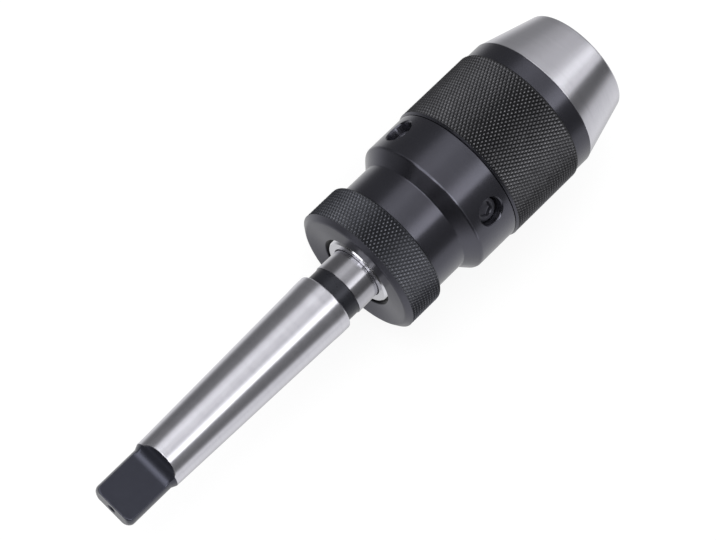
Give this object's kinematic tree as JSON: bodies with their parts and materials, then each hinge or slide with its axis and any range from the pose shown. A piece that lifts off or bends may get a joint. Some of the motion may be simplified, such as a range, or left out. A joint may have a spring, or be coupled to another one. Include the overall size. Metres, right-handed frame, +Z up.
{
  "type": "keyless drill chuck",
  "caption": "Keyless drill chuck on a morse taper arbor with a flat tang: knurled grip, turning knurled sleeve, ground nose and jaws drawn back inside.",
  "frame": {"origin": "on the chuck's axis at the gauge plane of the arbor's morse taper, where its diameter is 17.78 mm", "axes": "+X along the axis from the tang towards the nose, +Z up and square to the tang's flats, +Y to the left seen from the tang"},
  "size_m": [0.1793, 0.044, 0.044],
  "materials": {
    "arbor_steel": "finely ground taper, blackened tang and neck",
    "hub_steel": "turned steel",
    "black_body": "black oxide, satin, knurled grip",
    "black_screw": "black oxide",
    "race_steel": "hardened and ground",
    "cage_brass": "satin",
    "ball_steel": "polished",
    "black_knurl": "black oxide, fine diamond knurl",
    "nose_steel": "finely ground",
    "guide_steel": "black oxide",
    "screw_steel": "turned steel",
    "jaw_steel": "hardened, ground gripping faces"
  },
  "bodies": {
    "drive_body": {"arbor": "arbor_steel", "drive_hub": "hub_steel", "rear_body": "black_body", "lock_screw_1": "black_screw", "lock_screw_2": "black_screw", "lock_screw_3": "black_screw", "front_race": "race_steel"},
    "turning_sleeve": {"knurled_sleeve": "black_knurl", "nose_cone": "nose_steel", "jaw_guide": "guide_steel", "rear_race": "race_steel"},
    "bearing": {"ball_cage": "cage_brass", "ball_01": "ball_steel", "ball_02": "ball_steel", "ball_03": "ball_steel", "ball_04": "ball_steel", "ball_05": "ball_steel", "ball_06": "ball_steel", "ball_07": "ball_steel", "ball_08": "ball_steel", "ball_09": "ball_steel", "ball_10": "ball_steel", "ball_11": "ball_steel", "ball_12": "ball_steel", "ball_13": "ball_steel", "ball_14": "ball_steel", "ball_15": "ball_steel", "ball_16": "ball_steel", "ball_17": "ball_steel", "ball_18": "ball_steel"},
    "draw_screw_body": {"draw_screw": "screw_steel"},
    "jaw_body_1": {"jaw_1": "jaw_steel"},
    "jaw_body_2": {"jaw_2": "jaw_steel"},
    "jaw_body_3": {"jaw_3": "jaw_steel"}
  },
  "joints": [
    {"name": "sleeve_turn", "type": "hinge", "parent": "drive_body", "child": "turning_sleeve", "pos_m": [0, 0, 0], "axis": [-1, 0, 0], "range_deg": [0, 1660]},
    {"name": "bearing_turn", "type": "hinge", "parent": "drive_body", "child": "bearing", "pos_m": [0.0629, 0, 0], "axis": [-1, 0, 0], "range_deg": [0, 831]},
    {"name": "draw_screw_travel", "type": "slide", "parent": "turning_sleeve", "child": "draw_screw_body", "axis": [1, 0, 0], "range_m": [0, 0.0185]},
    {"name": "jaw_1_slide", "type": "slide", "parent": "turning_sleeve", "child": "jaw_body_1", "axis": [0.9511, 0, -0.309], "range_m": [0, 0.0194]},
    {"name": "jaw_2_slide", "type": "slide", "parent": "turning_sleeve", "child": "jaw_body_2", "axis": [0.9511, 0.2676, 0.1545], "range_m": [0, 0.0194]},
    {"name": "jaw_3_slide", "type": "slide", "parent": "turning_sleeve", "child": "jaw_body_3", "axis": [0.9511, -0.2676, 0.1545], "range_m": [0, 0.0194]}
  ],
  "couplings": [
    {"joint": "bearing_turn", "follows": "sleeve_turn", "ratio": 0.5},
    {"joint": "draw_screw_travel", "follows": "sleeve_turn", "m_per_rad": 0.00063662},
    {"joint": "jaw_1_slide", "follows": "sleeve_turn", "m_per_rad": 0.00066938},
    {"joint": "jaw_2_slide", "follows": "sleeve_turn", "m_per_rad": 0.00066938},
    {"joint": "jaw_3_slide", "follows": "sleeve_turn", "m_per_rad": 0.00066938}
  ]
}
